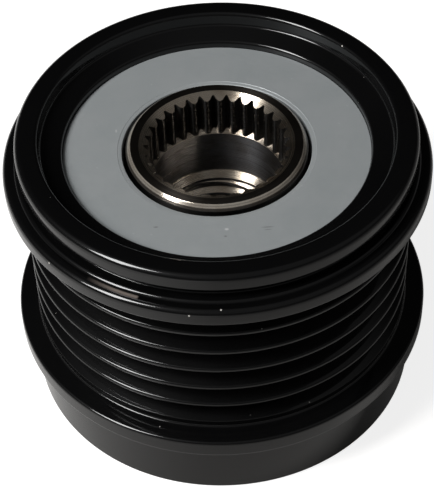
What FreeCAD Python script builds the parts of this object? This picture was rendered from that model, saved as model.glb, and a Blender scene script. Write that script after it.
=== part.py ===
import FreeCAD, Part
import math
import os
import Sketcher

# One-way alternator pulley. Millimetres; the axis is Z, the rear edge of the skirt stands
# on Z = 0 and the grey cover and the toothed socket look up.
os.makedirs("parts", exist_ok=True)
doc = FreeCAD.newDocument("AlternatorPulley")

# Driving sizes. Radii grow outwards from the thread, heights grow forwards from the skirt.
SIZES = {
    # hub
    "thread_radius": 8.0,
    "hub_wall": 4.0,
    "hub_gap": 0.5,
    "hub_rear_gap": 0.6,
    "hub_front_proud": 0.9,
    "hub_edge_radial": 0.6,
    "hub_edge_axial": 0.7,
    "hub_shoulder": 2.0,
    "pilot_step": 0.5,
    "pilot_length": 8.4,
    "pilot_mouth": 0.5,
    "socket_step": 0.9,
    "socket_depth": 13.5,
    "socket_cone": 1.1,
    "mouth_step": 1.36,
    "mouth_fall": 0.7,
    "spline_count": 33,
    "spline_depth": 0.82,
    "spline_length": 6.7,
    "spline_open_share": 0.88,
    "spline_root_width": 0.12,
    "tooth_back_radius": 1.7,
    # belt track
    "groove_count": 6,
    "groove_pitch": 3.56,
    "groove_angle": 40.0,
    "groove_depth": 3.3,
    "groove_flat": 0.53,
    "groove_wall": 2.73,
    "end_land": 2.5,
    # pulley body
    "skirt_length": 9.4,
    "skirt_rise": 1.02,
    "skirt_wall": 2.75,
    "skirt_edge": 0.3,
    "recess_depth": 5.5,
    "rear_flange_thickness": 2.98,
    "rear_flange_rise": 2.72,
    "front_flange_thickness": 2.47,
    "front_flange_rise": 2.32,
    "flange_slope": 0.4,
    "flange_edge": 0.25,
    "front_edge": 0.35,
    "shelf_step": 0.3,
    "shelf_rise": 0.32,
    "neck_width": 1.52,
    "neck_depth": 1.15,
    "rim_height": 2.34,
    "rim_wall": 3.34,
    "rim_edge": 0.8,
    "rim_inner_edge": 0.25,
    "dish_draft": 0.3,
    "dish_step": 1.82,
    "dish_width": 2.8,
    "dish_fall": 0.84,
    "plate_inset": 0.88,
    # cover plate
    "plate_thickness": 1.0,
    "plate_step": 0.3,
    "plate_gap": 0.3,
    "plate_coin_width": 0.7,
    "plate_coin_depth": 0.1,
    # ball bearings
    "bearing_section": 8.0,
    "bearing_width": 9.0,
    "bearing_edge": 0.4,
    "bearing_shoulder": 1.4,
    "ring_wall": 1.6,
    "ring_land": 2.0,
    "ball_count": 12,
    "ball_clearance": 0.02,
    "race_fit": 1.04,
    "cage_wall": 1.4,
    "cage_front": 1.6,
    "cage_play": 0.1,
    "cage_side_gap": 0.1,
    "seal_depth": 0.85,
    "seal_inset": 0.2,
    "seal_seat": 0.4,
    "seal_bead": 0.8,
    "seal_lip": 0.7,
    "seal_web": 0.4,
    "seal_gap": 0.1,
    # one-way clutch
    "sleeve_wall": 1.6,
    "sleeve_edge": 0.2,
    "cam_wall": 2.27,
    "wedge_angle": 7.0,
    "roller_count": 10,
    "roller_clearance": 0.02,
    "washer_thickness": 0.6,
    "washer_gap": 0.3,
    "clutch_cage_gap": 0.3,
    "clutch_rail": 1.0,
    "window_end_gap": 0.1,
    "window_side_gap": 0.1,
    "spring_space": 1.9,
    "spring_strip": 0.18,
    # rear shaft seal
    "seal_pocket": 2.0,
    "case_strip": 0.7,
    "case_inset": 0.2,
    "case_flange": 2.2,
}

# Radii and heights that follow from the driving sizes.
PLACES = {
    "hub_radius": "=Sizes.thread_radius + Sizes.hub_wall",
    "hub_shoulder_radius": "=hub_radius + Sizes.hub_shoulder",
    "pilot_radius": "=Sizes.thread_radius + Sizes.pilot_step",
    "socket_radius": "=Sizes.thread_radius + Sizes.socket_step",
    "spline_half_open": "=pi * socket_radius / Sizes.spline_count * Sizes.spline_open_share",
    "spline_half_root": "=Sizes.spline_root_width / 2",
    "mouth_radius": "=socket_radius + Sizes.mouth_step",
    "spline_root_radius": "=socket_radius + Sizes.spline_depth",
    "bore_radius": "=hub_radius + Sizes.bearing_section",
    "crest_radius": "=bore_radius + Sizes.groove_wall + Sizes.groove_depth",
    "skirt_radius": "=crest_radius + Sizes.skirt_rise",
    "recess_radius": "=skirt_radius - Sizes.skirt_wall",
    "pocket_radius": "=bore_radius - Sizes.bearing_shoulder",
    "rear_flange_radius": "=crest_radius + Sizes.rear_flange_rise",
    "front_flange_radius": "=crest_radius + Sizes.front_flange_rise",
    "plate_radius": "=bore_radius + Sizes.plate_step",
    "plate_hole": "=hub_radius + Sizes.hub_gap",
    "dish_radius": "=plate_radius + Sizes.dish_width",
    "rim_radius": "=dish_radius + Sizes.rim_wall",
    "neck_radius": "=rim_radius - Sizes.neck_depth",
    "shelf_radius": "=rim_radius + Sizes.shelf_step",
    "belt_bottom": "=Sizes.skirt_length + Sizes.rear_flange_thickness",
    "first_groove": "=belt_bottom + Sizes.end_land",
    "groove_span": "=Sizes.groove_pitch * (Sizes.groove_count - 1)",
    "belt_top": "=first_groove + groove_span + Sizes.end_land",
    "flange_top": "=belt_top + Sizes.front_flange_thickness",
    "shelf_top": "=flange_top + Sizes.shelf_rise",
    "rim_bottom": "=shelf_top + Sizes.neck_width",
    "rim_top": "=rim_bottom + Sizes.rim_height",
    "dish_top": "=rim_top - Sizes.dish_step",
    "lip_top": "=dish_top - Sizes.dish_fall",
    "plate_face": "=lip_top - Sizes.plate_inset",
    "plate_back": "=plate_face - Sizes.plate_thickness",
    "groove_mouth": "=(Sizes.groove_pitch - Sizes.groove_flat) / 2",
    "groove_root": "=groove_mouth - Sizes.groove_depth * tan(Sizes.groove_angle / 2)",
    "hub_front": "=plate_face + Sizes.hub_front_proud",
    "thread_bottom": "=Sizes.hub_rear_gap + Sizes.pilot_length",
    "socket_bottom": "=hub_front - Sizes.socket_depth",
    "thread_top": "=socket_bottom - Sizes.socket_cone",
    "spline_bottom": "=hub_front - Sizes.spline_length",
    "half_bearing": "=Sizes.bearing_width / 2",
    "rear_bearing_rear": "=Sizes.recess_depth + Sizes.seal_pocket",
    "rear_bearing_front": "=rear_bearing_rear + Sizes.bearing_width",
    "front_bearing_front": "=plate_back - Sizes.plate_gap",
    "front_bearing_rear": "=front_bearing_front - Sizes.bearing_width",
    "clutch_length": "=front_bearing_rear - rear_bearing_front",
    "ball_circle": "=hub_radius + Sizes.bearing_section / 2",
    "ball_radius": "=Sizes.bearing_section / 2 - Sizes.ring_wall - Sizes.ball_clearance",
    "race_radius": "=ball_radius * Sizes.race_fit",
    "inner_race_centre": "=hub_radius + Sizes.ring_wall + race_radius",
    "outer_race_centre": "=bore_radius - Sizes.ring_wall - race_radius",
    "inner_land": "=hub_radius + Sizes.ring_land",
    "outer_land": "=bore_radius - Sizes.ring_land",
    "seal_seat_radius": "=outer_land + Sizes.seal_seat",
    "sleeve_bore": "=bore_radius - Sizes.sleeve_wall",
    "cam_flat": "=hub_radius + Sizes.cam_wall",
    "roller_radius": "=((sleeve_bore - Sizes.roller_clearance) * cos(Sizes.wedge_angle)"
                     " - Sizes.roller_clearance - cam_flat) / (1 + cos(Sizes.wedge_angle))",
    "roller_circle": "=sleeve_bore - Sizes.roller_clearance - roller_radius",
    "washer_face": "=Sizes.washer_gap + Sizes.washer_thickness",
    "clutch_cage_length": "=clutch_length - 2 * washer_face",
    "window_length": "=clutch_cage_length - 2 * Sizes.clutch_rail",
    "roller_length": "=window_length - 2 * Sizes.window_end_gap",
    "cam_corner": "=cam_flat / cos(180 / Sizes.roller_count)",
    "clutch_cage_radius": "=sleeve_bore - Sizes.clutch_cage_gap",
    "roller_start": "=180 / Sizes.roller_count - Sizes.wedge_angle",
}


def new_sheet(name, entries):
    """A sheet with the names in column A and their values in column B."""
    sheet = doc.addObject("Spreadsheet::Sheet", name)
    for row, (alias, content) in enumerate(entries.items(), start=1):
        sheet.set(f"A{row}", alias)
        sheet.set(f"B{row}", str(content))
        sheet.setAlias(f"B{row}", alias)
    doc.recompute()
    return sheet


sizes = new_sheet("Sizes", SIZES)
places = new_sheet("Places", PLACES)


def bind(feature, **expressions):
    """Bind properties of a feature to expressions of the sheets."""
    for prop, expression in expressions.items():
        feature.setExpression(prop.replace("__", "."), expression)


def origin_part(body, role):
    """One of the body's own origin planes or axes."""
    for feature in body.Origin.OriginFeatures:
        if feature.Role == role:
            return feature


def new_body(label):
    body = doc.addObject("PartDesign::Body", label)
    body.Label = label
    return body


def new_sketch(body, name, role):
    sketch = body.newObject("Sketcher::SketchObject", name)
    sketch.AttachmentSupport = [(origin_part(body, role), "")]
    sketch.MapMode = "FlatFace"
    return sketch


def pin_point(sketch, geometry, point, across, up):
    """Place one point of a sketch by two expressions."""
    start = sketch.getPoint(geometry, point)
    for kind, near, expression in (("DistanceX", start.x, across), ("DistanceY", start.y, up)):
        index = sketch.addConstraint(Sketcher.Constraint(kind, -1, 1, geometry, point, near))
        sketch.setExpression(f"Constraints[{index}]", expression)


def meet(sketch, arc, line, end):
    """Join the nearer end of an arc to one end of a line."""
    corner = sketch.getPoint(line, end)
    near = min((1, 2), key=lambda side: (sketch.getPoint(arc, side) - corner).Length)
    sketch.addConstraint(Sketcher.Constraint("Coincident", arc, near, line, end))


def set_radius(sketch, circle, radius, expression):
    """Bind the radius of a circle or an arc of a sketch to an expression."""
    index = sketch.addConstraint(Sketcher.Constraint("Radius", circle, radius))
    sketch.setExpression(f"Constraints[{index}]", expression)


def outline(body, name, role, corners):
    """A closed outline of straight lines, drawn as a rough circle whose corners two expressions
    each then pull into place."""
    sketch = new_sketch(body, name, role)
    count = len(corners)
    reach = places.get("crest_radius") / 2
    rough = [FreeCAD.Vector(2 * reach + reach * math.cos(2 * math.pi * i / count),
                            reach + reach * math.sin(2 * math.pi * i / count), 0) for i in range(count)]
    for i in range(count):
        sketch.addGeometry(Part.LineSegment(rough[i], rough[(i + 1) % count]), False)
    for i in range(count):
        sketch.addConstraint(Sketcher.Constraint("Coincident", i, 2, (i + 1) % count, 1))
    for i, (across, up) in enumerate(corners):
        pin_point(sketch, i, 1, across, up)
    doc.recompute()
    return sketch


def turned(body, corners, name="turned"):
    """Turn an outline of (radius, height) corners about the axis."""
    feature = body.newObject("PartDesign::Revolution", name)
    feature.Profile = outline(body, name + "_outline", "XZ_Plane", corners)
    feature.ReferenceAxis = (feature.Profile[0], ["V_Axis"])
    feature.Angle = 360
    doc.recompute()
    return feature


def turned_away(body, sketch, name):
    """Cut what a sketch sweeps when it turns about the axis."""
    before = body.Shape.Volume
    feature = body.newObject("PartDesign::Groove", name)
    feature.Profile = sketch
    feature.ReferenceAxis = (sketch, ["V_Axis"])
    feature.Angle = 360
    doc.recompute()
    if body.Shape.Volume >= before:
        raise RuntimeError(f"{body.Label}: {name} cuts nothing")
    return feature


def ring_edges(feature, radius, height, slack=0.0001):
    """Names of the circular edges of a feature that lie at one radius and height, within the slack."""
    names = []
    for number, edge in enumerate(feature.Shape.Edges, start=1):
        ends = [vertex.Point for vertex in edge.Vertexes]
        if all(abs(math.hypot(p.x, p.y) - radius) < slack and abs(p.z - height) < slack for p in ends):
            names.append(f"Edge{number}")
    return names


def round_edge(body, feature, name, radius, height, size):
    fillet = body.newObject("PartDesign::Fillet", name)
    fillet.Base = (feature, ring_edges(feature, places.get(radius), places.get(height)))
    bind(fillet, Radius=size)
    doc.recompute()
    return fillet


def pulley():
    """Steel pulley body: skirt, two flanges, belt track, snap neck, rim and dished front."""
    body = new_body("pulley")
    ring = turned(body, [
        ("Places.recess_radius + Sizes.skirt_edge", "0"),
        ("Places.skirt_radius - Sizes.skirt_edge", "0"),
        ("Places.skirt_radius", "Sizes.skirt_edge"),
        ("Places.skirt_radius", "Sizes.skirt_length"),
        ("Places.rear_flange_radius - Sizes.flange_edge", "Sizes.skirt_length"),
        ("Places.rear_flange_radius", "Sizes.skirt_length + Sizes.flange_edge"),
        ("Places.rear_flange_radius", "Places.belt_bottom - Sizes.flange_slope - Sizes.flange_edge"),
        ("Places.rear_flange_radius - Sizes.flange_edge", "Places.belt_bottom - Sizes.flange_slope"),
        ("Places.crest_radius", "Places.belt_bottom"),
        ("Places.crest_radius", "Places.belt_top"),
        ("Places.front_flange_radius - Sizes.flange_edge", "Places.belt_top + Sizes.flange_slope / 2"),
        ("Places.front_flange_radius", "Places.belt_top + Sizes.flange_slope / 2 + Sizes.flange_edge"),
        ("Places.front_flange_radius", "Places.flange_top - Sizes.front_edge"),
        ("Places.front_flange_radius - Sizes.front_edge", "Places.flange_top"),
        ("Places.shelf_radius", "Places.flange_top"),
        ("Places.shelf_radius", "Places.shelf_top"),
        ("Places.neck_radius", "Places.shelf_top"),
        ("Places.neck_radius", "Places.rim_bottom"),
        ("Places.rim_radius", "Places.rim_bottom"),
        ("Places.rim_radius", "Places.rim_top"),
        ("Places.dish_radius + Sizes.dish_draft + Sizes.rim_inner_edge", "Places.rim_top"),
        ("Places.dish_radius + Sizes.dish_draft", "Places.rim_top - Sizes.rim_inner_edge"),
        ("Places.dish_radius", "Places.dish_top"),
        ("Places.plate_radius", "Places.lip_top"),
        ("Places.plate_radius", "Places.plate_back"),
        ("Places.bore_radius", "Places.plate_back"),
        ("Places.bore_radius", "Places.rear_bearing_rear"),
        ("Places.pocket_radius", "Places.rear_bearing_rear"),
        ("Places.pocket_radius", "Sizes.recess_depth"),
        ("Places.recess_radius", "Sizes.recess_depth"),
        ("Places.recess_radius", "Sizes.skirt_edge"),
    ])
    round_edge(body, ring, "rim_round", "rim_radius", "rim_top", "Sizes.rim_edge")
    cutter = outline(body, "groove_outline", "XZ_Plane", [
        ("Places.crest_radius + Sizes.front_flange_rise / 2", "Places.first_groove - Places.groove_mouth"),
        ("Places.crest_radius + Sizes.front_flange_rise / 2", "Places.first_groove + Places.groove_mouth"),
        ("Places.crest_radius", "Places.first_groove + Places.groove_mouth"),
        ("Places.crest_radius - Sizes.groove_depth", "Places.first_groove + Places.groove_root"),
        ("Places.crest_radius - Sizes.groove_depth", "Places.first_groove - Places.groove_root"),
        ("Places.crest_radius", "Places.first_groove - Places.groove_mouth"),
    ])
    groove = turned_away(body, cutter, "belt_groove")
    track = body.newObject("PartDesign::LinearPattern", "belt_track")
    track.Originals = [groove]
    track.Direction = (origin_part(body, "Z_Axis"), [""])
    bind(track, Occurrences="Sizes.groove_count", Length="Places.groove_span")
    body.Tip = track
    return body


def cover_plate():
    """Flat zinc-plated ring pressed into the front of the pulley, coined round its hole."""
    body = new_body("front_cover_plate")
    turned(body, [
        ("Places.plate_hole", "Places.plate_back"),
        ("Places.plate_radius", "Places.plate_back"),
        ("Places.plate_radius", "Places.plate_face"),
        ("Places.plate_hole + Sizes.plate_coin_width", "Places.plate_face"),
        ("Places.plate_hole + Sizes.plate_coin_width - Sizes.plate_coin_depth",
         "Places.plate_face - Sizes.plate_coin_depth"),
        ("Places.plate_hole", "Places.plate_face - Sizes.plate_coin_depth"),
    ])
    return body


def spline_gap(body):
    """Outline of one gap between two round-backed teeth of the socket, on the +Y side."""
    sketch = new_sketch(body, "spline_outline", "XY_Plane")
    tip = places.get("socket_radius")
    root = places.get("spline_root_radius")
    mouth = places.get("spline_half_open")
    floor = places.get("spline_half_root")
    inside = tip - sizes.get("spline_depth")
    back = sizes.get("tooth_back_radius")
    slant = FreeCAD.Vector(mouth - floor, tip - root, 0)
    bulge = back - math.sqrt(back ** 2 - (slant.Length / 2) ** 2)
    hollow = FreeCAD.Vector((mouth + floor) / 2, (tip + root) / 2, 0)
    hollow += FreeCAD.Vector(slant.y, -slant.x, 0).normalize() * bulge
    points = [FreeCAD.Vector(x, y, 0) for x, y in (
        (-mouth, inside), (mouth, inside), (mouth, tip), (floor, root), (-floor, root), (-mouth, tip))]
    sketch.addGeometry(Part.LineSegment(points[0], points[1]), False)
    sketch.addGeometry(Part.LineSegment(points[1], points[2]), False)
    sketch.addGeometry(Part.LineSegment(points[3], points[4]), False)
    sketch.addGeometry(Part.LineSegment(points[5], points[0]), False)
    sketch.addGeometry(Part.Arc(points[2], hollow, points[3]), False)
    sketch.addGeometry(Part.Arc(points[4], FreeCAD.Vector(-hollow.x, hollow.y, 0), points[5]), False)
    sketch.addConstraint(Sketcher.Constraint("Coincident", 0, 2, 1, 1))
    sketch.addConstraint(Sketcher.Constraint("Coincident", 3, 2, 0, 1))
    for arc, line, end in ((4, 1, 2), (4, 2, 1), (5, 2, 2), (5, 3, 1)):
        meet(sketch, arc, line, end)
    inner = "Places.socket_radius - Sizes.spline_depth"
    pin_point(sketch, 0, 1, "-Places.spline_half_open", inner)
    pin_point(sketch, 0, 2, "Places.spline_half_open", inner)
    pin_point(sketch, 1, 2, "Places.spline_half_open", "Places.socket_radius")
    pin_point(sketch, 2, 1, "Places.spline_half_root", "Places.spline_root_radius")
    pin_point(sketch, 2, 2, "-Places.spline_half_root", "Places.spline_root_radius")
    pin_point(sketch, 3, 1, "-Places.spline_half_open", "Places.socket_radius")
    for arc in (4, 5):
        set_radius(sketch, arc, back, "Sizes.tooth_back_radius")
    doc.recompute()
    return sketch


def hub():
    """Turned steel hub: shoulder, bearing seat, pilot, thread bore and toothed socket."""
    body = new_body("hub")
    turned(body, [
        ("Places.pilot_radius + Sizes.pilot_mouth", "Sizes.hub_rear_gap"),
        ("Places.hub_shoulder_radius - Sizes.pilot_mouth", "Sizes.hub_rear_gap"),
        ("Places.hub_shoulder_radius", "Sizes.hub_rear_gap + Sizes.pilot_mouth"),
        ("Places.hub_shoulder_radius", "Places.rear_bearing_rear"),
        ("Places.hub_radius", "Places.rear_bearing_rear"),
        ("Places.hub_radius", "Places.hub_front - Sizes.hub_edge_axial"),
        ("Places.hub_radius - Sizes.hub_edge_radial", "Places.hub_front"),
        ("Places.mouth_radius", "Places.hub_front"),
        ("Places.socket_radius", "Places.hub_front - Sizes.mouth_fall"),
        ("Places.socket_radius", "Places.socket_bottom"),
        ("Sizes.thread_radius", "Places.thread_top"),
        ("Sizes.thread_radius", "Places.thread_bottom + Sizes.pilot_step"),
        ("Places.pilot_radius", "Places.thread_bottom"),
        ("Places.pilot_radius", "Sizes.hub_rear_gap + Sizes.pilot_mouth"),
    ])
    sketch = spline_gap(body)
    sketch.setExpression("AttachmentOffset.Base.z", "Places.spline_bottom")
    doc.recompute()
    before = body.Shape.Volume
    gap = body.newObject("PartDesign::Pocket", "spline_gap")
    gap.Profile = sketch
    gap.Reversed = True
    bind(gap, Length="Sizes.spline_length + Sizes.hub_front_proud")
    doc.recompute()
    if body.Shape.Volume >= before:
        raise RuntimeError("hub: the spline gap cuts nothing")
    teeth = body.newObject("PartDesign::PolarPattern", "spline")
    teeth.Originals = [gap]
    teeth.Axis = (origin_part(body, "Z_Axis"), [""])
    teeth.Angle = 360
    bind(teeth, Occurrences="Sizes.spline_count")
    body.Tip = teeth
    return body


def race_outline(body, centre):
    """Circle of the ball track, half way along the ring."""
    sketch = new_sketch(body, "race_outline", "XZ_Plane")
    near = FreeCAD.Vector(places.get(centre), places.get("half_bearing"), 0)
    radius = places.get("race_radius")
    sketch.addGeometry(Part.Circle(near, FreeCAD.Vector(0, 0, 1), radius), False)
    set_radius(sketch, 0, radius, "Places.race_radius")
    pin_point(sketch, 0, 3, f"Places.{centre}", "Places.half_bearing")
    doc.recompute()
    return sketch


def outer_ring(label):
    """Bearing outer ring: corner breaks, a seal seat at each end and a round ball track."""
    body = new_body(label)
    width = "Sizes.bearing_width"
    turned(body, [
        ("Places.seal_seat_radius", "0"),
        ("Places.bore_radius - Sizes.bearing_edge", "0"),
        ("Places.bore_radius", "Sizes.bearing_edge"),
        ("Places.bore_radius", f"{width} - Sizes.bearing_edge"),
        ("Places.bore_radius - Sizes.bearing_edge", width),
        ("Places.seal_seat_radius", width),
        ("Places.seal_seat_radius", f"{width} - Sizes.seal_depth"),
        ("Places.outer_land", f"{width} - Sizes.seal_depth"),
        ("Places.outer_land", "Sizes.seal_depth"),
        ("Places.seal_seat_radius", "Sizes.seal_depth"),
    ])
    turned_away(body, race_outline(body, "outer_race_centre"), "race")
    return body


def inner_ring(label):
    """Bearing inner ring, pressed on the hub."""
    body = new_body(label)
    width = "Sizes.bearing_width"
    turned(body, [
        ("Places.hub_radius + Sizes.bearing_edge", "0"),
        ("Places.inner_land", "0"),
        ("Places.inner_land", width),
        ("Places.hub_radius + Sizes.bearing_edge", width),
        ("Places.hub_radius", f"{width} - Sizes.bearing_edge"),
        ("Places.hub_radius", "Sizes.bearing_edge"),
    ])
    turned_away(body, race_outline(body, "inner_race_centre"), "race")
    return body


def balls(label, rear):
    """Ring of steel balls between the two tracks."""
    group = []
    for number in range(int(sizes.get("ball_count"))):
        ball = doc.addObject("Part::Sphere", f"{label}_{number + 1}")
        turn = f"{number} * 360 / Sizes.ball_count"
        bind(ball, Radius="Places.ball_radius",
             Placement__Base__x=f"Places.ball_circle * cos({turn})",
             Placement__Base__y=f"Places.ball_circle * sin({turn})",
             Placement__Base__z=f"Places.{rear} + Places.half_bearing")
        group.append(ball)
    together = doc.addObject("Part::Compound", label)
    together.Label = label
    together.Links = group
    return together


def ball_cage(label):
    """Moulded crown cage: a ring with a round pocket for each ball, open to the front."""
    body = new_body(label)
    inner = "Places.ball_circle - Sizes.cage_wall / 2"
    outer = "Places.ball_circle + Sizes.cage_wall / 2"
    back = "Sizes.seal_depth + Sizes.cage_side_gap"
    front = "Places.half_bearing + Sizes.cage_front"
    turned(body, [(inner, back), (outer, back), (outer, front), (inner, front)])
    pocket = body.newObject("PartDesign::SubtractiveCylinder", "ball_pocket")
    pocket.AttachmentSupport = [(origin_part(body, "XY_Plane"), "")]
    pocket.MapMode = "FlatFace"
    pocket.AttachmentOffset = FreeCAD.Placement(
        FreeCAD.Vector(), FreeCAD.Rotation(FreeCAD.Vector(0, 1, 0), 90))
    bind(pocket, Radius="Places.ball_radius + Sizes.cage_play", Height="Places.bore_radius",
         AttachmentOffset__Base__z="Places.half_bearing")
    doc.recompute()
    pockets = body.newObject("PartDesign::PolarPattern", "ball_pockets")
    pockets.Originals = [pocket]
    pockets.Axis = (origin_part(body, "Z_Axis"), [""])
    pockets.Angle = 360
    bind(pockets, Occurrences="Sizes.ball_count")
    body.Tip = pockets
    return body


def bearing_seal(label):
    """Rubber seal: a bead in the outer ring's seat, a thin web and a lip near the inner ring."""
    body = new_body(label)
    inset = "Sizes.seal_inset"
    depth = "Sizes.seal_depth"
    web = "Sizes.seal_inset + Sizes.seal_web"
    bead = "Places.seal_seat_radius - Sizes.seal_bead"
    lip = "Places.inner_land + Sizes.seal_gap"
    turned(body, [
        ("Places.seal_seat_radius", inset),
        ("Places.seal_seat_radius", depth),
        (bead, depth),
        (bead, web),
        (f"{lip} + Sizes.seal_lip", web),
        (lip, depth),
        (lip, inset),
    ])
    return body


def bearing(name, rear, front):
    """One sealed ball bearing, its rear face at one named height and its front at another."""
    rings = [outer_ring(f"{name}_bearing_outer_ring"), inner_ring(f"{name}_bearing_inner_ring"),
             ball_cage(f"{name}_bearing_cage"), bearing_seal(f"{name}_bearing_rear_seal")]
    for piece in rings:
        bind(piece, Placement__Base__z=f"Places.{rear}")
    turned_seal = bearing_seal(f"{name}_bearing_front_seal")
    turned_seal.Placement.Rotation = FreeCAD.Rotation(FreeCAD.Vector(1, 0, 0), 180)
    bind(turned_seal, Placement__Base__z=f"Places.{front}")
    return rings + [turned_seal, balls(f"{name}_bearing_balls", rear)]


def clutch_sleeve():
    """Hardened sleeve that the rollers grip, pressed in the pulley between the bearings."""
    body = new_body("clutch_outer_sleeve")
    rear = "Places.rear_bearing_front"
    front = "Places.front_bearing_rear"
    edge = "Sizes.sleeve_edge"
    turned(body, [
        (f"Places.sleeve_bore + {edge}", rear),
        (f"Places.bore_radius - {edge}", rear),
        ("Places.bore_radius", f"{rear} + {edge}"),
        ("Places.bore_radius", f"{front} - {edge}"),
        (f"Places.bore_radius - {edge}", front),
        (f"Places.sleeve_bore + {edge}", front),
        ("Places.sleeve_bore", f"{front} - {edge}"),
        ("Places.sleeve_bore", f"{rear} + {edge}"),
    ])
    return body


def cylinder(name, radius, length, height):
    solid = doc.addObject("Part::Cylinder", name)
    bind(solid, Radius=radius, Height=length, Placement__Base__z=height)
    return solid


def flat_prism(name, length, height):
    """Prism with one flat for each roller."""
    prism = doc.addObject("Part::Prism", name)
    bind(prism, Polygon="Sizes.roller_count", Circumradius="Places.cam_corner", Height=length,
         Placement__Base__z=height)
    return prism


def cut(label, base, tool):
    result = doc.addObject("Part::Cut", label)
    result.Label = label
    result.Base = base
    result.Tool = tool
    return result


def cam_ring():
    """Hardened ring pressed on the hub, with one flat ramp under each roller."""
    height = "Places.rear_bearing_front"
    prism = flat_prism("cam_prism", "Places.clutch_length", height)
    bore = cylinder("cam_bore", "Places.hub_radius", "Places.clutch_length", height)
    return cut("clutch_cam_ring", prism, bore)


def clutch_washer(label, height):
    """Thin steel washer that shuts one end of the roller cage, held by the cam ring's flats."""
    disc = cylinder(f"{label}_disc", "Places.clutch_cage_radius", "Sizes.washer_thickness", height)
    hole = flat_prism(f"{label}_hole", "Sizes.washer_thickness", height)
    return cut(label, disc, hole)


def around(name, count, start, step, make):
    """A compound of copies, each made at its own angle in degrees."""
    group = [make(f"{name}_{number + 1}", f"({start} + {number} * {step})") for number in range(count)]
    together = doc.addObject("Part::Compound", name)
    together.Label = name
    together.Links = group
    return together


def roller_window(name, angle):
    """Window of the cage for one roller and the spring behind it."""
    window = doc.addObject("Part::Box", name)
    bind(window, Length="Sizes.bearing_section", Height="Places.window_length",
         Width="2 * Places.roller_radius + Sizes.spring_space + Sizes.window_side_gap",
         Placement__Rotation__Angle=angle,
         Placement__Base__x=f"Places.hub_radius * cos({angle})"
                            f" + (Places.roller_radius + Sizes.window_side_gap) * sin({angle})",
         Placement__Base__y=f"Places.hub_radius * sin({angle})"
                            f" - (Places.roller_radius + Sizes.window_side_gap) * cos({angle})",
         Placement__Base__z="Places.rear_bearing_front + Places.washer_face + Sizes.clutch_rail")
    return window


def clutch_cage(count):
    """Moulded cage keyed on the cam ring's flats, with a window for each roller and spring."""
    height = "Places.rear_bearing_front + Places.washer_face"
    outer = cylinder("clutch_cage_blank", "Places.clutch_cage_radius", "Places.clutch_cage_length",
                     height)
    hole = flat_prism("clutch_cage_hole", "Places.clutch_cage_length", height)
    windows = around("clutch_cage_windows", count, "Places.roller_start",
                     "360 / Sizes.roller_count", roller_window)
    return cut("clutch_cage", cut("clutch_cage_ring", outer, hole), windows)


def one_roller(name, angle):
    roller = doc.addObject("Part::Cylinder", name)
    bind(roller, Radius="Places.roller_radius", Height="Places.roller_length",
         Placement__Base__x=f"Places.roller_circle * cos({angle})",
         Placement__Base__y=f"Places.roller_circle * sin({angle})",
         Placement__Base__z="Places.rear_bearing_front + Places.washer_face"
                            " + Sizes.clutch_rail + Sizes.window_end_gap")
    return roller


def clutch_springs():
    """Folded leaf springs that push the rollers up the ramps: each a flat strip bent in a Z."""
    radius = places.get("roller_radius")
    circle = places.get("roller_circle")
    strip = sizes.get("spring_strip")
    space = sizes.get("spring_space")
    length = places.get("roller_length")
    base = (places.get("rear_bearing_front") + places.get("washer_face") + sizes.get("clutch_rail")
            + sizes.get("window_end_gap"))
    low = circle - radius / 2
    high = circle + radius / 2
    at_bar = radius + space - strip / 2
    at_roller = radius + sizes.get("roller_clearance") + strip / 2
    route = [(low, at_bar), (high, at_bar), (low, at_roller), (high, at_roller)]
    path = Part.makePolygon([FreeCAD.Vector(x, y, base) for x, y in route])
    band = path.makeOffset2D(strip / 2, join=0, openResult=False)
    blade = Part.Face(band).extrude(FreeCAD.Vector(0, 0, length))
    count = int(sizes.get("roller_count"))
    blades = []
    for number in range(count):
        turn = places.get("roller_start") + number * 360 / count
        blades.append(blade.rotated(FreeCAD.Vector(), FreeCAD.Vector(0, 0, 1), turn))
    springs = doc.addObject("Part::Feature", "clutch_springs")
    springs.Label = "clutch_springs"
    springs.Shape = Part.makeCompound(blades)
    return springs


def rear_seal_case():
    """Pressed steel case of the rear shaft seal, an L turned round the axis."""
    body = new_body("rear_seal_case")
    outer = "Places.pocket_radius"
    low = "Sizes.recess_depth + Sizes.case_inset"
    high = "Places.rear_bearing_rear - Sizes.case_inset"
    turned(body, [
        (outer, low),
        (outer, high),
        (f"{outer} - Sizes.case_flange", high),
        (f"{outer} - Sizes.case_flange", f"{high} - Sizes.case_strip"),
        (f"{outer} - Sizes.case_strip", f"{high} - Sizes.case_strip"),
        (f"{outer} - Sizes.case_strip", low),
    ])
    return body


def rear_seal_lip():
    """Rubber lip bonded in the case, running on the hub's shoulder."""
    body = new_body("rear_seal_lip")
    outer = "Places.pocket_radius - Sizes.case_strip"
    flange = "Places.pocket_radius - Sizes.case_flange"
    low = "Sizes.recess_depth + Sizes.case_inset"
    high = "Places.rear_bearing_rear - Sizes.case_inset"
    lip = "Places.hub_shoulder_radius + Sizes.seal_gap"
    turned(body, [
        (outer, low),
        (outer, f"{high} - Sizes.case_strip"),
        (flange, f"{high} - Sizes.case_strip"),
        (flange, high),
        (f"{flange} - Sizes.seal_lip", high),
        (lip, f"{low} + Sizes.seal_web"),
        (lip, low),
        (f"{lip} + Sizes.seal_lip", low),
    ])
    return body


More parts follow.
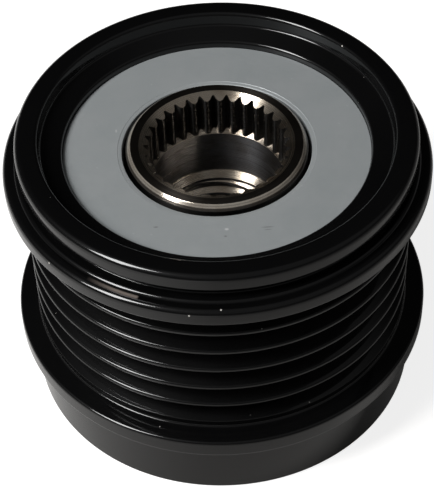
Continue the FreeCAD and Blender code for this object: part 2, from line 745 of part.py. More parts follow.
def assemble():
    """Every separate piece, rear to front and from the outside in."""
    count = int(sizes.get("roller_count"))
    pieces = [pulley(), cover_plate(), hub(), rear_seal_case(), rear_seal_lip()]
    pieces += bearing("rear", "rear_bearing_rear", "rear_bearing_front")
    pieces += bearing("front", "front_bearing_rear", "front_bearing_front")
    pieces += [
        clutch_sleeve(),
        cam_ring(),
        clutch_washer("clutch_rear_washer", "Places.rear_bearing_front + Sizes.washer_gap"),
        clutch_washer("clutch_front_washer", "Places.front_bearing_rear - Places.washer_face"),
        clutch_cage(count),
        around("clutch_rollers", count, "Places.roller_start", "360 / Sizes.roller_count", one_roller),
        clutch_springs(),
    ]
    return pieces


pieces = assemble()
doc.recompute()

for item in doc.Objects:
    if "Invalid" in item.State or "Error" in item.State:
        raise RuntimeError(f"{item.Label} failed: {item.State}")
for piece in pieces:
    if piece.Shape.isNull() or not piece.Shape.isValid():
        raise RuntimeError(f"{piece.Label} has no valid shape")
for piece in pieces:
    piece.Shape.exportStep(f"parts/{piece.Label}.step")
    print(piece.Label, len(piece.Shape.Solids), round(piece.Shape.Volume, 1))
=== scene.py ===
# One-way alternator pulley, standing on its rear skirt, in metres. The axis is Z and the grey
# cover looks up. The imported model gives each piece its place, and the sections follow the order
# in which the pulley is put together, from the hub outwards.
import math

import bpy
from mathutils import Matrix, Quaternion, Vector


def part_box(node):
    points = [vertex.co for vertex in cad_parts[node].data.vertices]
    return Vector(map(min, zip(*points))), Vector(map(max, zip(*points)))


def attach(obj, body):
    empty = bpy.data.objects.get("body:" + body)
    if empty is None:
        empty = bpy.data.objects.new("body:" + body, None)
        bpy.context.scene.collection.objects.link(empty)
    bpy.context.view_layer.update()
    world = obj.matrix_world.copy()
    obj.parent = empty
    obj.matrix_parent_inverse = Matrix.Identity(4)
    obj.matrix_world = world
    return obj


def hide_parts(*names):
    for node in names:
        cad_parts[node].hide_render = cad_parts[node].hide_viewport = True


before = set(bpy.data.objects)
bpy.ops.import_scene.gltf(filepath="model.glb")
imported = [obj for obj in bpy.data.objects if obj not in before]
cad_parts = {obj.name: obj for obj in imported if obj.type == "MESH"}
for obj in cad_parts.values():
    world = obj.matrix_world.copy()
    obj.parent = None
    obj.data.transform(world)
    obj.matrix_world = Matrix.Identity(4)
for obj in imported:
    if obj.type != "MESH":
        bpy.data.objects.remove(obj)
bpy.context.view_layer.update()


# Hub. A steel bar turned to a stepped sleeve: pilot and thread bores at the rear, a socket of 33
# round-backed teeth shaped into the front of the bore for the holding tool. The alternator's
# shaft screws into it, and everything else runs on it or is pressed on it.
mm = 0.001
hub_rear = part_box("hub")[0].z
hub_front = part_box("hub")[1].z
hub_shoulder_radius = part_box("hub")[1].x
hub_radius = 12.0 * mm
shoulder_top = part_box("rear_bearing_inner_ring")[0].z
hub_edge_radial = 0.6 * mm
hub_edge_axial = 0.7 * mm
hub_edge_rounding = 0.18 * mm
# A thin darker brown line round the middle of the chamfer.
chamfer_line_radius = hub_radius - 0.42 * mm
chamfer_line_core = 0.02 * mm
chamfer_line_reach = 0.06 * mm
chamfer_line_share = 0.55
# Painted shade: outside this radius the chamfer's outer edge is coloured dark.
shaded_edge_start = hub_radius - 0.27 * mm
shaded_edge_full = hub_radius - 0.21 * mm
pilot_radius = 8.5 * mm
pilot_mouth = 0.5 * mm
pilot_length = 8.4 * mm
thread_radius = 8.0 * mm
thread_bottom = hub_rear + pilot_length + pilot_radius - thread_radius
thread_edge_rounding = 0.1 * mm
socket_radius = 8.9 * mm
socket_bottom = hub_front - 13.5 * mm
socket_rounding = 0.3 * mm
thread_top = socket_bottom - 0.85 * mm
mouth_radius = 10.26 * mm
mouth_fall = 0.77 * mm
mouth_slope = mouth_fall / (mouth_radius - socket_radius)
tooth_count = 33
tooth_tip = socket_radius + 0.03 * mm
tooth_root = socket_radius + 0.82 * mm
tooth_steps = 10
gap_share = 0.45
tooth_bottom = hub_front - 6.7 * mm
tooth_end_slope = 0.5


def arc(start, end, radius, steps):
    """Points from start to end on an arc that turns left, or right where the radius is negative."""
    chord = end - start
    reach = math.copysign(math.sqrt(radius ** 2 - chord.length_squared / 4), radius)
    middle = start + chord / 2 + chord.orthogonal().normalized() * reach
    sweep = 2 * math.asin(chord.length / 2 / radius)
    return [middle + Matrix.Rotation(sweep * number / steps, 2) @ (start - middle)
            for number in range(steps + 1)]


def rounded(corners, steps=4):
    """An outline of (radius, height, rounding) corners, each rounded as far as its own value says."""
    points = []
    for before, corner, after in zip(corners[-1:] + corners[:-1], corners, corners[1:] + corners[:1]):
        here = Vector(corner[:2])
        if corner[2] == 0:
            points.append(here)
            continue
        arrive = (here - Vector(before[:2])).normalized()
        leave = (Vector(after[:2]) - here).normalized()
        back = corner[2] * math.tan(arrive.angle(leave) / 2)
        side = math.copysign(corner[2], arrive.cross(leave))
        points += arc(here - arrive * back, here + leave * back, side, steps)
    return [tuple(point) for point in points]


def turned(name, rings, angles, crease=35):
    """A closed skin round the Z axis. A ring is one (radius, height) pair, or a list with a pair for
    each angle; the rings run outwards along the rear, up the outside and back down the inside."""
    corners = []
    for ring in rings:
        for column, angle in enumerate(angles):
            radius, height = ring[column] if isinstance(ring, list) else ring
            corners.append((radius * math.cos(angle), radius * math.sin(angle), height))
    count = len(angles)
    faces = []
    for row in range(len(rings)):
        below = row * count
        above = (row + 1) % len(rings) * count
        for column in range(count):
            beside = (column + 1) % count
            faces.append((below + column, below + beside, above + beside, above + column))
    return skin(name, corners, faces, crease)


def skin(name, corners, faces, crease=35):
    """A piece made of flat faces, shaded smooth up to the crease angle in degrees."""
    mesh = bpy.data.meshes.new(name)
    mesh.from_pydata(corners, [], faces)
    mesh.shade_smooth()
    mesh.set_sharp_from_angle(angle=math.radians(crease))
    piece = bpy.data.objects.new(name, mesh)
    bpy.context.scene.collection.objects.link(piece)
    piece.modifiers.new("flat_faces_stay_flat", "WEIGHTED_NORMAL").keep_sharp = True
    return piece


def new_finish(name, colour, metallic, roughness):
    """A finish with its main shader: colour, share of metal and roughness."""
    finish = bpy.data.materials.new(name)
    finish.use_nodes = True
    shader = finish.node_tree.nodes["Principled BSDF"]
    shader.inputs["Base Color"].default_value = (*colour, 1)
    shader.inputs["Metallic"].default_value = metallic
    shader.inputs["Roughness"].default_value = roughness
    return finish, shader


def step(finish, kind, *inputs, out=0, **more):
    """Adds one node to a finish and returns its output. Inputs are values or other nodes' outputs,
    in the node's own order or by name."""
    made = finish.node_tree.nodes.new(kind)
    given = list(zip(made.inputs, inputs))
    for name, value in more.items():
        if name in made.inputs:
            given.append((made.inputs[name], value))
        else:
            setattr(made, name, value)
    for socket, value in given:
        if isinstance(value, bpy.types.NodeSocket):
            finish.node_tree.links.new(value, socket)
        elif value is not None:
            socket.default_value = value
    return made.outputs[out]


def feed(finish, shader, name, output):
    """Lets a node's output drive one of the shader's inputs."""
    finish.node_tree.links.new(output, shader.inputs[name])


def between(finish, value, low, high, start, end):
    """Scales a value from low..high to start..end, and no further."""
    return step(finish, "ShaderNodeMapRange", value, low, high, start, end)


def blend(finish, share, first, second, way="MIX"):
    """Goes from the first colour to the second as the share goes from 0 to 1."""
    return step(finish, "ShaderNodeMixRGB", share, first, second, blend_type=way)


def grey(level):
    """An even colour, or a plain level that has to pass through a blend."""
    return (level, level, level, 1)


def combined(finish, way, *values):
    """One value worked out from the others, such as their product."""
    return step(finish, "ShaderNodeMath", *values, operation=way)


def measured(finish):
    """Each point's place on the piece, its distance from the axis and its height."""
    place = step(finish, "ShaderNodeTexCoord", out="Object")
    across = step(finish, "ShaderNodeVectorMath", place, (1, 1, 0), operation="MULTIPLY")
    radius = step(finish, "ShaderNodeVectorMath", across, operation="LENGTH", out="Value")
    height = step(finish, "ShaderNodeSeparateXYZ", place, out="Z")
    return place, radius, height


def tool_rings(finish, spacing):
    """Noise that changes along the radius and the height only, like the lines that a turning tool
    leaves; spacing is their distance."""
    radius, height = measured(finish)[1:]
    line = step(finish, "ShaderNodeCombineXYZ", radius, height, 0)
    return step(finish, "ShaderNodeTexNoise", Vector=line, Scale=1 / spacing, Detail=3.0)


def smudges(finish, size, detail=4.0):
    """Soft cloudy noise with patches of about the given size."""
    place = step(finish, "ShaderNodeTexCoord", out="Object")
    return step(finish, "ShaderNodeTexNoise", Vector=place, Scale=1 / size, Detail=detail)


def raised(finish, shader, relief, strength, depth):
    """Gives the surface a relief of the given depth; strength says how much of it shows."""
    bump = step(finish, "ShaderNodeBump", Strength=strength, Distance=depth, Height=relief)
    feed(finish, shader, "Normal", bump)


def lined_round_axis(finish, shader, amount):
    """Spreads highlights across fine lines that run round the axis; the rotation is a quarter turn."""
    shader.inputs["Anisotropic"].default_value = amount
    shader.inputs["Anisotropic Rotation"].default_value = 0.25
    feed(finish, shader, "Tangent", step(finish, "ShaderNodeTangent", direction_type="RADIAL", axis="Z"))


def turned_steel():
    """Oiled steel. The front face is fine-turned and painted dark as shade, and the chamfer round it is
    bright, with a thin darker brown line round its middle and an outer edge painted dark as shade. The
    cones inside come off a form tool and look tan; the broached tooth walls are painted nearly black and
    the bore wall below them dark grey, both as shade."""
    finish, shader = new_finish("turned_steel", (0.5, 0.48, 0.46), 1.0, 0.22)
    # Painted shade: the wall, tooth-wall and front colours are darker than the steel and stand in for
    # shade.
    shaded_wall_grey = (0.27, 0.27, 0.28, 1)
    shaded_tooth_black = (0.08, 0.077, 0.075, 1)
    cone_tan = (0.64, 0.56, 0.46, 1)
    chamfer_bright = (0.62, 0.56, 0.48, 1)
    chamfer_line_brown = (0.25, 0.22, 0.19, 1)
    shaded_edge_dark = (0.09, 0.08, 0.07, 1)
    shaded_front = (0.28, 0.25, 0.22, 1)
    oily = (0.75, 0.71, 0.67, 1)
    radius, height = measured(finish)[1:]
    normal = step(finish, "ShaderNodeNewGeometry", out="True Normal")
    facing_up = step(finish, "ShaderNodeSeparateXYZ", normal, out="Z")
    sloped = between(finish, facing_up, 0.2, 0.3, 0, 1)
    level = between(finish, facing_up, 0.95, 0.97, 0, 1)
    outside = between(finish, radius, mouth_radius, mouth_radius + 0.02 * mm, 0, 1)
    shaded_edge = between(finish, radius, shaded_edge_start, shaded_edge_full, 0, 1)
    toothed = between(finish, height, tooth_bottom - 0.01 * mm, tooth_bottom + 0.01 * mm, 0, 1)

    def by_face(wall, cone, chamfer, front):
        """A value for each kind of face: walls, inner cones, outer chamfer and flat front."""
        slope = blend(finish, outside, cone, chamfer)
        return blend(finish, level, blend(finish, sloped, wall, slope), front)

    off_chamfer_line = combined(finish, "ABSOLUTE", combined(finish, "SUBTRACT", radius, chamfer_line_radius))
    chamfer_line = between(finish, off_chamfer_line, chamfer_line_core, chamfer_line_reach, chamfer_line_share, 0)
    # Painted shade: the walls, the flat front and the chamfer's outer edge take the darker colours.
    wall = blend(finish, toothed, shaded_wall_grey, shaded_tooth_black)
    chamfer = blend(finish, shaded_edge, blend(finish, chamfer_line, chamfer_bright, chamfer_line_brown), shaded_edge_dark)
    tone = by_face(wall, cone_tan, chamfer, shaded_front)
    stain = between(finish, smudges(finish, 2.5 * mm), 0.42, 0.68, 0, 1)
    film = blend(finish, stain, grey(1), oily)
    feed(finish, shader, "Base Color", blend(finish, 1.0, tone, film, "MULTIPLY"))
    rings = tool_rings(finish, 0.12 * mm)
    rough = by_face(grey(0.28), grey(0.27), grey(0.16), grey(0.2))
    feed(finish, shader, "Roughness",
         combined(finish, "ADD", rough, between(finish, rings, 0.3, 0.7, -0.04, 0.05)))
    feed(finish, shader, "Metallic", by_face(grey(1), grey(1), grey(0.75), grey(1)))
    lined_round_axis(finish, shader, 0.9)
    raised(finish, shader, rings, 0.25, 0.01 * mm)
    return finish


tooth_pitch = 2 * math.pi / tooth_count
half_gap = []
for number in range(tooth_steps + 1):
    part = number / tooth_steps
    depth = math.exp(-(part / gap_share) ** 2)
    half_gap.append((tooth_pitch / 2 * part, tooth_tip + (tooth_root - tooth_tip) * depth))
whole_gap = [(-turn, radius) for turn, radius in reversed(half_gap[1:-1])] + half_gap
hub_angles = []
tooth_wall = []
for tooth in range(tooth_count):
    for turn, radius in whole_gap:
        hub_angles.append(math.pi / 2 + tooth * tooth_pitch + turn)
        tooth_wall.append(radius)
hub_rings = rounded([
    (pilot_radius + pilot_mouth, hub_rear, 0),
    (hub_shoulder_radius - pilot_mouth, hub_rear, hub_edge_rounding),
    (hub_shoulder_radius, hub_rear + pilot_mouth, hub_edge_rounding),
    (hub_shoulder_radius, shoulder_top, hub_edge_rounding),
    (hub_radius, shoulder_top, 0),
    (hub_radius, hub_front - hub_edge_axial, hub_edge_rounding),
    (hub_radius - hub_edge_radial, hub_front, hub_edge_rounding),
    (mouth_radius, hub_front, 0),
], 3)
hub_rings.append([(radius, hub_front - mouth_slope * (mouth_radius - radius)) for radius in tooth_wall])
hub_rings.append([(radius, tooth_bottom + tooth_end_slope * (radius - socket_radius))
                  for radius in tooth_wall])
hub_rings += rounded([
    (socket_radius, tooth_bottom, 0),
    (socket_radius, socket_bottom, socket_rounding),
    (thread_radius, thread_top, thread_edge_rounding),
    (thread_radius, thread_bottom, 0),
    (pilot_radius, thread_bottom - pilot_radius + thread_radius, 0),
    (pilot_radius, hub_rear + pilot_mouth, 0),
], 3)
hub = turned("hub_turned", hub_rings, hub_angles, 28)
hub_steel = turned_steel()
hub.data.materials.append(hub_steel)
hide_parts("hub")
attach(hub, "hub_set")


# Shaft thread. The M16 x 1.5 thread tapped in the hub's bore, seen at the bottom of the socket as
# bright rings. It is the ridge that the tap leaves standing, with a tapered start at both ends.
ridge_pitch = 1.5 * mm
ridge_radius = 7.19 * mm
ridge_sunk = 0.05 * mm
ridge_base = thread_radius + ridge_sunk
ridge_flank = math.radians(30)
ridge_half_crest = ridge_pitch / 8
ridge_half_base = ridge_half_crest + (ridge_base - ridge_radius) * math.tan(ridge_flank)
ridge_steps = 96
ridge_bottom = thread_bottom + ridge_half_base
ridge_top = thread_top - ridge_half_base
ridge_taper_turns = 0.3
ridge_thinnest = 0.02
ridge_count = int((ridge_top - ridge_bottom) / ridge_pitch * ridge_steps)
ridge_corners = []
for number in range(ridge_count + 1):
    angle = number * 2 * math.pi / ridge_steps
    height = ridge_bottom + ridge_pitch * number / ridge_steps
    from_end = min(number, ridge_count - number) / ridge_steps
    grown = ridge_thinnest + (1 - ridge_thinnest) * min(1, from_end / ridge_taper_turns)
    crest = ridge_base - (ridge_base - ridge_radius) * grown
    half_base = ridge_half_crest + (ridge_half_base - ridge_half_crest) * grown
    for radius, lift in ((ridge_base, -half_base), (ridge_base, half_base),
                         (crest, ridge_half_crest), (crest, -ridge_half_crest)):
        ridge_corners.append((radius * math.cos(angle), radius * math.sin(angle), height + lift))
ridge_faces = []
for number in range(ridge_count):
    for side in range(4):
        beside = (side + 1) % 4
        ridge_faces.append((4 * number + side, 4 * number + beside,
                            4 * number + 4 + beside, 4 * number + 4 + side))
ridge_faces.append((3, 2, 1, 0))
ridge_faces.append(tuple(4 * ridge_count + side for side in range(4)))
thread = skin("hub_thread", ridge_corners, ridge_faces)
thread.data.materials.append(hub_steel)
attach(thread, "hub_set")


# Ball bearings. One at each end of the clutch: ground rings of hard steel, twelve balls each in a
# moulded nylon cage, and a rubber seal at both faces. The inner rings are pressed on the hub.
def dress(finish, *nodes):
    """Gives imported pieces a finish."""
    for name in nodes:
        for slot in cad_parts[name].material_slots:
            slot.material = finish


def vary_roughness(finish, shader, noise, smooth, rough, low=0.3, high=0.7):
    """Lets the roughness follow a noise as it goes from low to high."""
    feed(finish, shader, "Roughness", between(finish, noise, low, high, smooth, rough))


def vary_colour(finish, shader, noise, low, high, first, second):
    """Lets the colour follow a noise as it goes from low to high."""
    share = between(finish, noise, low, high, 0, 1)
    feed(finish, shader, "Base Color", blend(finish, share, first, second))


def ground_steel():
    """Hardened steel off the grinder: bright, with very fine lines round the axis."""
    finish, shader = new_finish("ground_steel", (0.56, 0.56, 0.57), 1.0, 0.2)
    vary_roughness(finish, shader, tool_rings(finish, 0.05 * mm), 0.14, 0.26)
    lined_round_axis(finish, shader, 0.6)
    return finish


def ball_steel():
    """Polished balls under a film of grease that dulls them in places."""
    finish, shader = new_finish("ball_steel", (0.62, 0.62, 0.63), 1.0, 0.06)
    grease = smudges(finish, 1.2 * mm)
    vary_roughness(finish, shader, grease, 0.05, 0.22, 0.45, 0.65)
    return finish


def cage_nylon():
    """Glass-filled nylon, brown, with a fine moulded grain."""
    finish, shader = new_finish("cage_nylon", (0.19, 0.11, 0.06), 0.0, 0.45)
    light_brown = (0.21, 0.125, 0.07, 1)
    dark_brown = (0.15, 0.085, 0.045, 1)
    vary_colour(finish, shader, smudges(finish, 3 * mm), 0.35, 0.65, light_brown, dark_brown)
    grain = smudges(finish, 0.25 * mm)
    vary_roughness(finish, shader, grain, 0.36, 0.55)
    raised(finish, shader, grain, 0.3, 0.02 * mm)
    return finish


def seal_rubber():
    """Black nitrile rubber with a matt moulded skin and faint pale bloom."""
    finish, shader = new_finish("seal_rubber", (0.02, 0.02, 0.021), 0.0, 0.6)
    black = (0.017, 0.017, 0.018, 1)
    bloom = (0.05, 0.05, 0.052, 1)
    vary_colour(finish, shader, smudges(finish, 2 * mm), 0.45, 0.8, black, bloom)
    grain = smudges(finish, 0.12 * mm)
    vary_roughness(finish, shader, grain, 0.5, 0.7)
    raised(finish, shader, grain, 0.35, 0.02 * mm)
    return finish


ring_steel = ground_steel()
bright_balls = ball_steel()
nylon = cage_nylon()
rubber = seal_rubber()
for end in ("rear", "front"):
    dress(ring_steel, f"{end}_bearing_outer_ring", f"{end}_bearing_inner_ring")
    dress(bright_balls, f"{end}_bearing_balls")
    dress(nylon, f"{end}_bearing_cage")
    dress(rubber, f"{end}_bearing_rear_seal", f"{end}_bearing_front_seal")


# One-way clutch. Ten rollers between the sleeve and the flats of the cam ring, each pushed up its
# ramp by a folded leaf spring. They jam when the pulley drives the hub and let go when it slows.
def hardened_steel():
    """Case-hardened steel: darker than the bearings, straw coloured from tempering, lightly oiled."""
    finish, shader = new_finish("hardened_steel", (0.4, 0.38, 0.36), 1.0, 0.28)
    plain = (0.42, 0.4, 0.38, 1)
    straw = (0.34, 0.3, 0.25, 1)
    vary_colour(finish, shader, smudges(finish, 4 * mm), 0.35, 0.65, plain, straw)
    vary_roughness(finish, shader, tool_rings(finish, 0.08 * mm), 0.2, 0.36)
    return finish


def spring_strip():
    """Rolled stainless strip: bright, with fine lines along the roll."""
    finish, shader = new_finish("spring_strip", (0.58, 0.57, 0.55), 1.0, 0.25)
    place = step(finish, "ShaderNodeTexCoord", out="Object")
    along = step(finish, "ShaderNodeVectorMath", place, (1, 1, 0.05), operation="MULTIPLY")
    lines = step(finish, "ShaderNodeTexNoise", Vector=along, Scale=1 / (0.06 * mm), Detail=2.0)
    vary_roughness(finish, shader, lines, 0.18, 0.36)
    return finish


clutch_steel = hardened_steel()
dress(clutch_steel, "clutch_outer_sleeve", "clutch_cam_ring", "clutch_rear_washer", "clutch_front_washer")
dress(ring_steel, "clutch_rollers")
dress(nylon, "clutch_cage")
dress(spring_strip(), "clutch_springs")


# Rear shaft seal. A pressed steel case in the pulley's rear recess with a rubber lip bonded to it;
# the lip runs on the hub's shoulder and keeps dirt out of the rear bearing.
def pressed_steel():
    """Phosphated sheet steel, grey-black and matt, worn brighter in patches."""
    finish, shader = new_finish("pressed_steel", (0.16, 0.16, 0.165), 1.0, 0.45)
    phosphated = (0.13, 0.13, 0.135, 1)
    vary_colour(finish, shader, smudges(finish, 2 * mm), 0.5, 0.75, phosphated, grey(0.36))
    vary_roughness(finish, shader, smudges(finish, 0.3 * mm), 0.36, 0.55)
    return finish


dress(pressed_steel(), "rear_seal_case")
dress(rubber, "rear_seal_lip")


# Pulley. One steel turning: skirt, rear flange, six belt grooves at 3.56 mm, front flange, a snap
# neck for a dust cap, and a rim round a dished front. It is painted gloss black all over after
# machining, so every edge is softened by the paint, and a little dust lies on it.
pulley_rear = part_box("pulley")[0].z
rim_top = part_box("pulley")[1].z
rear_flange_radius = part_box("pulley")[1].x
crest_radius = rear_flange_radius - 2.72 * mm
front_flange_radius = crest_radius + 2.28 * mm
skirt_radius = crest_radius + 1.02 * mm
recess_radius = skirt_radius - 2.75 * mm
bore_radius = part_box("clutch_outer_sleeve")[1].x
plate_low, plate_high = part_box("front_cover_plate")
plate_radius = plate_high.x
dish_radius = plate_radius + 2.8 * mm
dish_slope = 0.3 * mm
rim_radius = dish_radius + 3.3 * mm
neck_radius = rim_radius - 1.15 * mm
shelf_radius = rim_radius + 0.21 * mm
shelf_slope = 0.19 * mm
pocket_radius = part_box("rear_seal_case")[1].x
recess_top = pulley_rear + 5.5 * mm
skirt_top = pulley_rear + 9.4 * mm
belt_bottom = skirt_top + 2.98 * mm
groove_pitch = 3.56 * mm
groove_count = 6
groove_depth = 3.3 * mm
groove_flank = math.radians(20)
groove_half_mouth = (groove_pitch - 0.53 * mm) / 2
groove_half_root = groove_half_mouth - groove_depth * math.tan(groove_flank)
first_groove = belt_bottom + 2.5 * mm
belt_top = first_groove + groove_pitch * (groove_count - 1) + 2.5 * mm
flange_top = belt_top + 2.47 * mm
shelf_top = flange_top + 0.32 * mm
rim_bottom = shelf_top + 1.52 * mm
dish_top = rim_top - 1.82 * mm
lip_top = dish_top - 0.84 * mm
flange_slope = 0.4 * mm
flange_edge = 0.32 * mm
first_crest_round = 0.1 * mm
crest_round = 0.36 * mm
root_round = 0.4 * mm
neck_round = 0.2 * mm
pulley_outline = [
    (recess_radius, pulley_rear, 0.45 * mm),
    (skirt_radius, pulley_rear, 0.3 * mm),
    (skirt_radius, skirt_top, 0.15 * mm),
    (rear_flange_radius, skirt_top, flange_edge),
    (rear_flange_radius, belt_bottom - flange_slope, 0.46 * mm),
    (crest_radius, belt_bottom, 0.3 * mm),
]
for number in range(groove_count):
    middle = first_groove + groove_pitch * number
    pulley_outline += [
        (crest_radius, middle - groove_half_mouth, crest_round if number else first_crest_round),
        (crest_radius - groove_depth, middle - groove_half_root, root_round),
        (crest_radius - groove_depth, middle + groove_half_root, root_round),
        (crest_radius, middle + groove_half_mouth, crest_round),
    ]
pulley_outline += [
    (crest_radius, belt_top, 0.2 * mm),
    (front_flange_radius, belt_top + flange_slope / 2, flange_edge),
    (front_flange_radius, flange_top, 0.8 * mm),
    (shelf_radius + shelf_slope, flange_top, 0),
    (shelf_radius, shelf_top, 0.58 * mm),
    (neck_radius, shelf_top, neck_round),
    (neck_radius, rim_bottom, neck_round),
    (rim_radius, rim_bottom, 0.3 * mm),
    (rim_radius, rim_top, 0.88 * mm),
    (dish_radius + dish_slope, rim_top, 0.5 * mm),
    (dish_radius, dish_top, 0.4 * mm),
    (plate_radius, lip_top, 0.45 * mm),
    (plate_radius, plate_low.z, 0),
    (bore_radius, plate_low.z, 0),
    (bore_radius, shoulder_top, 0),
    (pocket_radius, shoulder_top, 0),
    (pocket_radius, recess_top, 0.1 * mm),
    (recess_radius, recess_top, 0.3 * mm),
]
round_steps = 240
round_angles = [2 * math.pi * column / round_steps for column in range(round_steps)]
pulley = turned("pulley_painted", rounded(pulley_outline), round_angles)


def scattered_dots(finish, spacing):
    """How far each point is from the nearest of many scattered dots, in shares of their spacing."""
    place = step(finish, "ShaderNodeTexCoord", out="Object")
    return step(finish, "ShaderNodeTexVoronoi", Vector=place, Scale=1 / spacing, out="Distance")


def gloss_paint():
    """Black gloss paint: deep, slightly wavy from the spray gun, with pale dust specks and one dull
    brown patch on the front flange, smeared dirt with a painted reflection of the window in it."""
    finish, shader = new_finish("gloss_paint", (0.002, 0.002, 0.0021), 0.0, 0.35)
    black = (0.002, 0.002, 0.0021, 1)
    smear_and_sheen_brown = (0.2, 0.17, 0.15, 1)
    dust_pale = (0.45, 0.43, 0.4, 1)
    shader.inputs["Coat Weight"].default_value = 1.0
    shader.inputs["Coat Roughness"].default_value = 0.072
    shader.inputs["Coat IOR"].default_value = 1.42
    shader.inputs["Specular IOR Level"].default_value = 0.05
    place, radius, height = measured(finish)
    dust_size = between(finish, smudges(finish, 2.0 * mm, 2.0), 0.4, 0.7, 0.012, 0.04)
    speck = between(finish, scattered_dots(finish, 3.2 * mm), dust_size, 0.005, 0, 1)
    # The clearest specks have places of their own, in millimetres: three on the front flange's near
    # edge and one on the far side of the rim.
    clear_specks = [(-21.85, -17.92, 37.1), (-4.85, -27.85, 37.07), (-0.97, -27.65, 37.62),
                    (17.96, 15.08, 41.7)]
    for x, y, z in clear_specks:
        apart = step(finish, "ShaderNodeVectorMath", place, (x * mm, y * mm, z * mm),
                     operation="DISTANCE", out="Value")
        clear = between(finish, apart, 0.1 * mm, 0.14 * mm, 1, 0)
        speck = combined(finish, "MAXIMUM", speck, clear)
    angle = combined(finish, "ARCTAN2", step(finish, "ShaderNodeSeparateXYZ", place, out="Y"),
                     step(finish, "ShaderNodeSeparateXYZ", place, out="X"))
    # The brown patch is partly smeared dirt and partly a painted reflection of the window.
    smear_and_sheen = between(finish, angle, -2.25, -2.1, 0, 0.8)
    # Each limit is a measure, where the patch is still whole and where it has ended.
    smear_and_sheen_limits = [(angle, -1.99, -1.98), (radius, 27.3 * mm, 27.6 * mm),
                    (radius, 27.1 * mm, 26.9 * mm), (height, 37.55 * mm, 37.45 * mm)]
    for measure, whole, ended in smear_and_sheen_limits:
        smear_and_sheen = combined(finish, "MULTIPLY", smear_and_sheen, between(finish, measure, whole, ended, 1, 0))
    soiled_and_sheen = blend(finish, smear_and_sheen, black, smear_and_sheen_brown)
    feed(finish, shader, "Base Color", blend(finish, speck, soiled_and_sheen, dust_pale))
    vary_roughness(finish, shader, smudges(finish, 6 * mm), 0.3, 0.4, 0.35, 0.75)
    raised(finish, shader, smudges(finish, 1.4 * mm, 1.0), 0.05, 0.03 * mm)
    return finish


black_paint = gloss_paint()
pulley.data.materials.append(black_paint)
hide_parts("pulley")
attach(pulley, "pulley_set")


# Front cover. A washer-like ring of zinc-plated sheet pressed into the dish over the front
# bearing, coined round its hole, which clears the hub by half a millimetre.
plate_hole = 12.5 * mm
coin_width = 0.6 * mm
coin_depth = 0.05 * mm
plate = turned("cover_plate", rounded([
    (plate_hole, plate_low.z, 0),
    (plate_radius, plate_low.z, 0),
    (plate_radius, plate_high.z, 0.12 * mm),
    (plate_hole + coin_width, plate_high.z, 0.05 * mm),
    (plate_hole + coin_width - coin_depth, plate_high.z - coin_depth, 0.03 * mm),
    (plate_hole, plate_high.z - coin_depth, 0.15 * mm),
], 3), round_angles)


def zinc_plating():
    """Dull zinc plating on rolled sheet: cool grey, satin, with faint stains, spots and scratches."""
    finish, shader = new_finish("zinc_plating", (0.36, 0.38, 0.39), 0.35, 0.5)
    light_zinc = (0.37, 0.39, 0.395, 1)
    dull_zinc = (0.345, 0.37, 0.375, 1)
    pale_spot = (0.5, 0.52, 0.53, 1)
    place = step(finish, "ShaderNodeTexCoord", out="Object")
    cloud = between(finish, smudges(finish, 5 * mm, 6.0), 0.35, 0.7, 0, 1)
    spot = between(finish, scattered_dots(finish, 2.3 * mm), 0.08, 0.03, 0, 0.35)
    tone = blend(finish, spot, blend(finish, cloud, light_zinc, dull_zinc), pale_spot)
    # The clearest marks have places of their own: x, y and half sizes in millimetres, and a grey.
    clear_marks = [(5.6, -14.95, 1.0, 0.1, 0.15), (5.6, -15.4, 0.6, 0.08, 0.18),
                   (-8.4, -13.9, 0.4, 0.15, 0.18), (0.45, -14.95, 0.35, 0.25, 0.7),
                   (0.25, -16.15, 0.25, 0.2, 0.2), (-13.2, 4.2, 0.15, 0.4, 0.6)]
    for x, y, half_length, half_width, level in clear_marks:
        offset = step(finish, "ShaderNodeVectorMath", place, (x * mm, y * mm, 0), operation="SUBTRACT")
        size = (1 / (half_length * mm), 1 / (half_width * mm), 0)
        scaled = step(finish, "ShaderNodeVectorMath", offset, size, operation="MULTIPLY")
        apart = step(finish, "ShaderNodeVectorMath", scaled, operation="LENGTH", out="Value")
        tone = blend(finish, between(finish, apart, 0.4, 1, 0.7, 0), tone, grey(level))
    feed(finish, shader, "Base Color", tone)
    grain = smudges(finish, 0.35 * mm)
    vary_roughness(finish, shader, grain, 0.44, 0.56)
    raised(finish, shader, grain, 0.12, 0.01 * mm)
    return finish


plate.data.materials.append(zinc_plating())
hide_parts("front_cover_plate")
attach(plate, "pulley_set")


# Floor. A plain white table top. The camera sees it lifted to white where no shadow falls, and the
# pulley's own soft shadow stays. What mirrors it sees a painted glow, most on the window's side.
floor_reach = 3.0
white_lift = 0.82
window_side = -45 * mm
far_side = -5 * mm
window_side_share = 0.48
far_side_share = 0.03
floor = skin("floor", [(-floor_reach, -floor_reach, 0), (floor_reach, -floor_reach, 0),
                       (floor_reach, floor_reach, 0), (-floor_reach, floor_reach, 0)], [(0, 1, 2, 3)])


def floor_paper():
    """Matt white paper, lifted towards white for the camera, and with a painted glow, brightest on the
    window's side, for what mirrors it.
    """
    finish, shader = new_finish("floor_paper", (0.47, 0.46, 0.445), 0.0, 0.9)
    shader.inputs["Specular IOR Level"].default_value = 0.0
    shader.inputs["Emission Color"].default_value = (1, 1, 1, 1)
    seen = step(finish, "ShaderNodeLightPath", out="Is Camera Ray")
    mirrored = combined(finish, "MAXIMUM", step(finish, "ShaderNodeLightPath", out="Is Glossy Ray"),
                        step(finish, "ShaderNodeLightPath", out="Is Transmission Ray"))
    place = step(finish, "ShaderNodeTexCoord", out="Object")
    sideways = step(finish, "ShaderNodeSeparateXYZ", place, out="X")
    # Painted glow for what mirrors the table, brightest on the window's side.
    painted_window_glow = between(finish, sideways, window_side, far_side, window_side_share, far_side_share)
    lift = combined(finish, "MAXIMUM", seen, combined(finish, "MULTIPLY", mirrored, painted_window_glow))
    feed(finish, shader, "Emission Strength", combined(finish, "MULTIPLY", lift, white_lift))
    return finish


floor.data.materials.append(floor_paper())


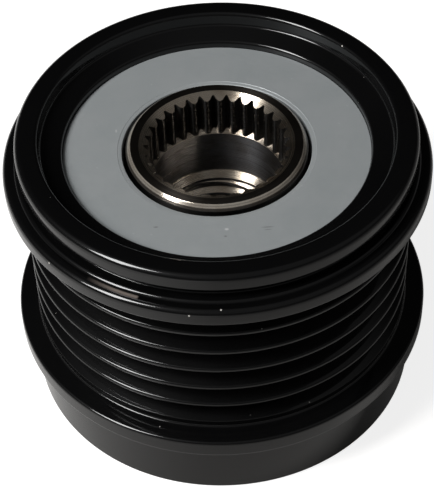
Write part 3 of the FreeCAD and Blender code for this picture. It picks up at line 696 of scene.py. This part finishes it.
# Light. A dim room whose walls are palest at table height, with a faint ceiling on the camera's
# side and one tall window-like softbox on the left. Only the camera sees the backdrop as white.
wall_glow = 0.2
wall_top_glow = 0.02
wall_top = 0.35
wall_behind_share = 0.2
ceiling_glow = 0.13
ceiling_start = 0.35
ceiling_full = 0.6
room = bpy.data.worlds.new("room")
bpy.context.scene.world = room
room.use_nodes = True
heading = step(room, "ShaderNodeTexCoord", out="Generated")
up = step(room, "ShaderNodeSeparateXYZ", heading, out="Z")
back = step(room, "ShaderNodeSeparateXYZ", heading, out="Y")
low_walls = combined(room, "MULTIPLY", between(room, up, 0.0, wall_top, wall_glow, wall_top_glow),
                     between(room, back, 0.6, 0.85, 1, wall_behind_share))
front_ceiling = combined(room, "MULTIPLY", between(room, up, ceiling_start, ceiling_full, 0, ceiling_glow),
                         between(room, back, 0.42, 0.15, 0, 1))
dim_room = combined(room, "ADD", low_walls, front_ceiling)
glow = combined(room, "MAXIMUM", dim_room, step(room, "ShaderNodeLightPath", out="Is Camera Ray"))
backdrop = room.node_tree.nodes["Background"]
feed(room, backdrop, "Color", step(room, "ShaderNodeCombineXYZ", glow, glow, glow))
backdrop.inputs["Strength"].default_value = 1.0

window_turn = math.radians(63.5)
window_lift = math.radians(50)
window_distance = 0.7
window_aim = Vector((-math.sin(window_turn) * math.cos(window_lift),
                     -math.cos(window_turn) * math.cos(window_lift), math.sin(window_lift)))
lamp = bpy.data.lights.new("window", "AREA")
lamp.shape = "RECTANGLE"
lamp.size = 0.2
lamp.size_y = 0.37
lamp.energy = 5.2
window = bpy.data.objects.new("window", lamp)
bpy.context.scene.collection.objects.link(window)
window.location = window_aim * window_distance
window.rotation_euler = window_aim.to_track_quat("Z", "Y").to_euler()


# Camera. In front and above, as the photograph was taken, turned a little to one side and with
# its slight tilt. The lens is given by its focal length in pixels of the 488 pixel high picture.
focal_pixels = 1646.2
picture_pixels = 488
view_distance = 229.72 * mm
view_elevation = math.radians(46.795)
view_turn = math.radians(-1.46)
view_tilt = math.radians(-2.113)
round_axis = Matrix.Rotation(view_turn, 3, "Z")
target = round_axis @ Vector((-0.453 * mm, 0, 19.757 * mm))
away = round_axis @ Vector((0, -math.cos(view_elevation), math.sin(view_elevation)))
camera = bpy.data.objects.new("camera", bpy.data.cameras.new("camera"))
bpy.context.scene.collection.objects.link(camera)
camera.data.lens = focal_pixels / picture_pixels * camera.data.sensor_width
camera.data.clip_start = 0.01
camera.location = target + away * view_distance
camera.rotation_mode = "QUATERNION"
camera.rotation_quaternion = away.to_track_quat("Z", "Y") @ Quaternion((0, 0, 1), view_tilt)
bpy.context.scene.camera = camera

bpy.context.scene.view_settings.view_transform = "Standard"
